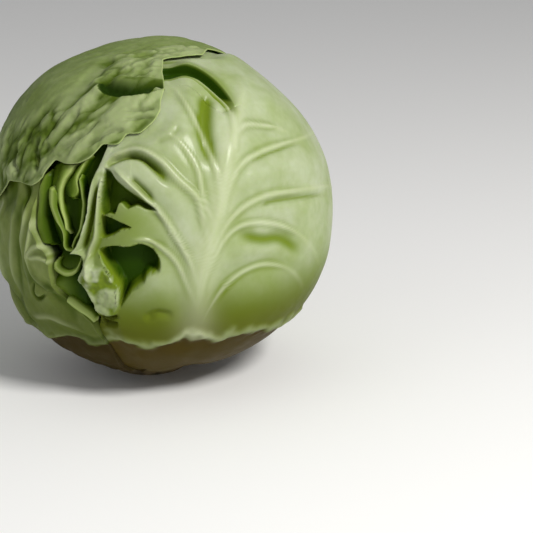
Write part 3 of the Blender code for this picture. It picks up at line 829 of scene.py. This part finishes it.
def add_gap_leaf(name, shape, look, walls, node=None):
    """A strip of leaf between two edges. With walls, its edges turn down deep into the head."""
    left_edge, right_edge, depths, swell, shades, far_shade = shape
    rows, columns = 160, 40
    left, right = smooth_path(left_edge, rows)[:, None], smooth_path(right_edge, rows)[:, None]
    along, across = np.linspace(0, 1, rows)[:, None], np.linspace(0, 1, columns)[None, :]
    wall = 0.2 if walls else 0.0  # the share of the strip at each side that turns down
    over = np.clip((across - wall) / (1 - 2 * wall), 0, 1)
    fallen = np.clip(np.maximum(wall - across, across - 1 + wall) / max(wall, 0.01), 0, 1)
    grid = left * (1 - over[..., None]) + right * over[..., None]
    towards = (grid / np.linalg.norm(grid, axis=2, keepdims=True)).reshape(-1, 3)
    tuck = 1 - smooth_step(along / 0.08) * smooth_step((1 - along) / 0.08)
    depth = depths[0] + (depths[1] - depths[0]) * over - swell * np.sin(math.pi * over)
    depth = (depth + 10 * fallen * walls + 3 * tuck * walls).ravel() + 0.5 * field(towards, 9, 2, 7.0)
    radius = head_radius(towards) + (form(towards) - depth) * MM
    # painted shade across the strip and towards its far end, darkest on the walls that turn down
    shade = np.interp(over, (0, 0.5, 1), shades) + far_shade * smooth_step((along - 0.35) / 0.6)
    shade = (shade + 0.9 * smooth_step(fallen / 0.5)).ravel()
    tones = {
        "shade_and_fleck": smooth_step((shade - 0.15) / 0.45),
        "depth_shade": smooth_step((shade - 0.4) / 0.6),
        # painted highlight on the pale lips
        "pale_rim_and_edge_light": 1 - smooth_step(shade / 0.3),
    }
    faces = grid_faces(rows, columns)
    add_sheet(name + "_strip", towards, radius, faces, tones, look, node)


# ---- Materials ----


def mixed(tree, factor, first, second):
    """The output of a colour mix. Each input is a socket, a number or a colour."""
    node = tree.nodes.new("ShaderNodeMix")
    node.data_type = "RGBA"
    for socket, value in ((node.inputs[0], factor), (node.inputs[6], first), (node.inputs[7], second)):
        if isinstance(value, bpy.types.NodeSocket):
            tree.links.new(value, socket)
        elif isinstance(value, (int, float)):
            socket.default_value = value
        else:
            socket.default_value = (*value, 1)
    return node.outputs[2]


def noise_node(tree, scale, detail=3.0, roughness=0.5):
    """Noise that varies `scale` times in a metre."""
    node = tree.nodes.new("ShaderNodeTexNoise")
    where = tree.nodes.new("ShaderNodeTexCoord")
    tree.links.new(where.outputs["Object"], node.inputs["Vector"])
    node.inputs["Scale"].default_value = scale
    node.inputs["Detail"].default_value = detail
    node.inputs["Roughness"].default_value = roughness
    return node.outputs["Fac"]


def spread(tree, value, low, high, to_low=0.0, to_high=1.0):
    """The value, with low to high stretched over to_low to to_high."""
    node = tree.nodes.new("ShaderNodeMapRange")
    tree.links.new(value, node.inputs["Value"])
    for name, number in (("From Min", low), ("From Max", high), ("To Min", to_low), ("To Max", to_high)):
        node.inputs[name].default_value = number
    return node.outputs["Result"]


def darker_of(tree, first, second):
    """The greater of two amounts of dark."""
    node = tree.nodes.new("ShaderNodeMath")
    node.operation = "MAXIMUM"
    tree.links.new(first, node.inputs[0])
    tree.links.new(second, node.inputs[1])
    return node.outputs["Value"]


def tone_socket(tree, name):
    """What add_sheet stored under this name."""
    node = tree.nodes.new("ShaderNodeAttribute")
    node.attribute_name = name
    return node.outputs["Fac"]


def srgb(red, green, blue):
    """A colour as a screen shows it, 0 to 255, turned into the linear values that nodes take."""
    return tuple(((c / 255 + 0.055) / 1.055) ** 2.4 for c in (red, green, blue))


def bumped(tree, height, strength, distance, under=None):
    """A bump's output. `under` is another bump's output that it adds to."""
    node = tree.nodes.new("ShaderNodeBump")
    node.inputs["Strength"].default_value = strength
    node.inputs["Distance"].default_value = distance
    tree.links.new(height, node.inputs["Height"])
    if under:
        tree.links.new(under, node.inputs["Normal"])
    return node.outputs["Normal"]


def new_material(name):
    """A material, its node tree and its shader."""
    made = bpy.data.materials.new(name)
    made.use_nodes = True
    return made, made.node_tree, made.node_tree.nodes["Principled BSDF"]


def veinlets(tree):
    """Height of the net of fine veins between the ribs."""
    cells = tree.nodes.new("ShaderNodeTexVoronoi")
    cells.feature = "DISTANCE_TO_EDGE"
    cells.inputs["Scale"].default_value = 230
    where = tree.nodes.new("ShaderNodeTexCoord")
    tree.links.new(where.outputs["Object"], cells.inputs["Vector"])
    return cells.outputs["Distance"]


def leaf_material(name, screen_colours, roughness, coat, coat_roughness, mottled, relief):
    """A leaf: its blade colour varies at random, veins are paler and crests get a painted highlight,
    grooves, depths and hollows get painted shade, the margin gets a painted highlight, and the brown base
    gets painted shade.
    """
    made, tree, shader = new_material(name)
    colours = {part: srgb(*seen) for part, seen in screen_colours.items()}
    blotches = spread(tree, noise_node(tree, 45, 4), 0.35, 0.65)
    colour = mixed(tree, blotches, colours["blade"], colours["blade_light"])
    # random flecks in the olive that the painted shade uses
    flecks = spread(tree, noise_node(tree, 240, 3), 0.35, 0.7, 0.0, mottled)
    colour = mixed(tree, flecks, colour, colours["shade_and_fleck"])
    # painted shade in the hollows and the fold, joined with the painted shade of the depths
    hollow_shade = spread(tree, tone_socket(tree, "hollow_shade"), 0.5, 0.5 + HOLE_EDGE)
    depth_shade = darker_of(tree, tone_socket(tree, "depth_shade"), hollow_shade)
    brown_base_and_shade = tone_socket(tree, "brown_base_and_shade")
    layers = {
        "shade_and_fleck": tone_socket(tree, "shade_and_fleck"),
        "vein_and_crest_light": tone_socket(tree, "vein_and_crest_light"),
        "depth_shade": depth_shade,
        "pale_rim_and_edge_light": tone_socket(tree, "pale_rim_and_edge_light"),
        "brown_base_and_shade": brown_base_and_shade,
    }
    for part, amount in layers.items():
        colour = mixed(tree, amount, colour, colours[part])
    tree.links.new(colour, shader.inputs["Base Color"])
    patches = spread(tree, noise_node(tree, 130, 3), 0.3, 0.7, roughness - 0.06, roughness + 0.1)
    tree.links.new(patches, shader.inputs["Roughness"])
    # no coat where painted shade or the brown base darkens the leaf
    coated = spread(tree, darker_of(tree, depth_shade, brown_base_and_shade), 0.0, 0.6, coat, 0.0)
    tree.links.new(coated, shader.inputs["Coat Weight"])
    shader.inputs["Coat Roughness"].default_value = coat_roughness
    shader.inputs["Specular IOR Level"].default_value = LEAF_SHINE
    shader.inputs["Subsurface Weight"].default_value = LIGHT_IN_LEAF
    shader.inputs["Subsurface Radius"].default_value = SCATTER_RADIUS
    shader.inputs["Subsurface Scale"].default_value = SCATTER_SCALE
    net = bumped(tree, veinlets(tree), 0.25 * relief, 0.0006)
    grain = bumped(tree, noise_node(tree, 420, 4, 0.6), 0.5 * relief, 0.0008, net)
    tree.links.new(grain, shader.inputs["Normal"])
    return made


def stem_material():
    """Dry brown tissue of the cut stem, with a rough grain."""
    made, tree, shader = new_material("cut_stem")
    speckles = spread(tree, noise_node(tree, 160, 5), 0.35, 0.65)
    tree.links.new(mixed(tree, speckles, srgb(*STEM_DARK), srgb(*STEM_PALE)), shader.inputs["Base Color"])
    shader.inputs["Roughness"].default_value = 0.7
    tree.links.new(bumped(tree, noise_node(tree, 300, 5), 0.6, 0.001), shader.inputs["Normal"])
    return made


def heart_material():
    """Pale packed leaves inside the head."""
    made, tree, shader = new_material("packed_heart")
    speckles = spread(tree, noise_node(tree, 90, 4), 0.35, 0.65)
    tree.links.new(mixed(tree, speckles, srgb(*HEART_DARK), srgb(*HEART_PALE)), shader.inputs["Base Color"])
    shader.inputs["Roughness"].default_value = 0.45
    return made


def repaint(node, look):
    """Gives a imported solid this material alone."""
    node.data.materials.clear()
    node.data.materials.append(look)


# ---- Stage ----

def add_camera():
    """A long lens that looks slightly down, with the head's centre left of and above the middle."""
    tilt = math.radians(CAMERA_ELEVATION)
    back = Vector((0, -math.cos(tilt), math.sin(tilt)))
    up = Vector((0, math.sin(tilt), math.cos(tilt)))
    right = Vector((1, 0, 0))
    centre = Vector(HEAD_CENTRE)
    camera = bpy.data.objects.new("camera", bpy.data.cameras.new("camera"))
    camera.data.lens = LENS
    camera.data.sensor_width = 36
    camera.location = centre + CAMERA_DISTANCE * back
    aim = centre - FRAME_WIDTH * (HEAD_RIGHT_OF_MIDDLE * right + HEAD_ABOVE_MIDDLE * up)
    camera.rotation_euler = (aim - camera.location).to_track_quat("-Z", "Y").to_euler()
    bpy.context.scene.collection.objects.link(camera)
    bpy.context.scene.camera = camera


def add_light(name, place, size, power, colour):
    """A round soft light that faces the head."""
    data = bpy.data.lights.new(name, "AREA")
    data.shape = "DISK"
    data.size = size
    data.energy = power
    data.color = colour
    light = bpy.data.objects.new(name, data)
    light.location = Vector(HEAD_CENTRE) + Vector(place)
    light.rotation_euler = (Vector(HEAD_CENTRE) - light.location).to_track_quat("-Z", "Y").to_euler()
    bpy.context.scene.collection.objects.link(light)


def add_floor():
    """The pale floor, far wider than the picture."""
    mesh = bpy.data.meshes.new("floor")
    corners = [(x * FLOOR_HALF, y * FLOOR_HALF, 0) for x, y in ((-1, -1), (1, -1), (1, 1), (-1, 1))]
    mesh.from_pydata(corners, [], [(0, 1, 2, 3)])
    floor = bpy.data.objects.new("floor", mesh)
    paint, _, shader = new_material("pale_floor")
    shader.inputs["Base Color"].default_value = (*FLOOR_COLOUR, 1)
    shader.inputs["Roughness"].default_value = FLOOR_ROUGHNESS
    mesh.materials.append(paint)
    bpy.context.scene.collection.objects.link(floor)


def add_stage():
    """The floor, the white surroundings and the lights."""
    add_floor()
    world = bpy.data.worlds.new("studio")
    world.use_nodes = True
    background = world.node_tree.nodes["Background"]
    background.inputs["Color"].default_value = (1.0, 1.0, 1.0, 1)
    background.inputs["Strength"].default_value = SURROUNDING_LIGHT
    bpy.context.scene.world = world
    for name, light in LIGHTS.items():
        add_light(name, *light)
    bpy.context.scene.view_settings.view_transform = "Standard"


def main():
    front = leaf_material("front_leaf_green", FRONT_COLOURS, 0.44, 0.22, 0.24, 0.12, 0.08)
    crown = leaf_material("crown_leaf_green", CROWN_COLOURS, 0.6, 0.14, 0.5, 0.35, 0.6)
    side = leaf_material("side_leaf_green", SIDE_COLOURS, 0.55, 0.18, 0.42, 0.3, 0.5)
    inner = leaf_material("inner_leaf_green", INNER_COLOURS, 0.48, 0.22, 0.3, 0.2, 0.2)
    add_front_leaf(front)
    add_front_fold(front)
    add_crown_leaf(crown)
    add_side_leaf(side)
    for name in ("back_left_leaf", "back_right_leaf"):
        add_plain_leaf(name, front, BACK_CELLS)
    for name in ("under_leaf_right", "under_leaf_back", "under_leaf_left"):
        add_plain_leaf(name, inner, UNDER_CELLS)
    for name, shape in GAP_LEAVES.items():
        add_gap_leaf(name, shape, inner, True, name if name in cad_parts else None)
    for name, shape in GAP_BACKS.items():
        add_gap_leaf(name, shape, inner, False)
    heart, stem = heart_material(), stem_material()
    for name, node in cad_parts.items():
        if name.startswith("heart"):
            repaint(node, heart)
        elif name == "stem":
            repaint(node, stem)
    add_camera()
    add_stage()


main()
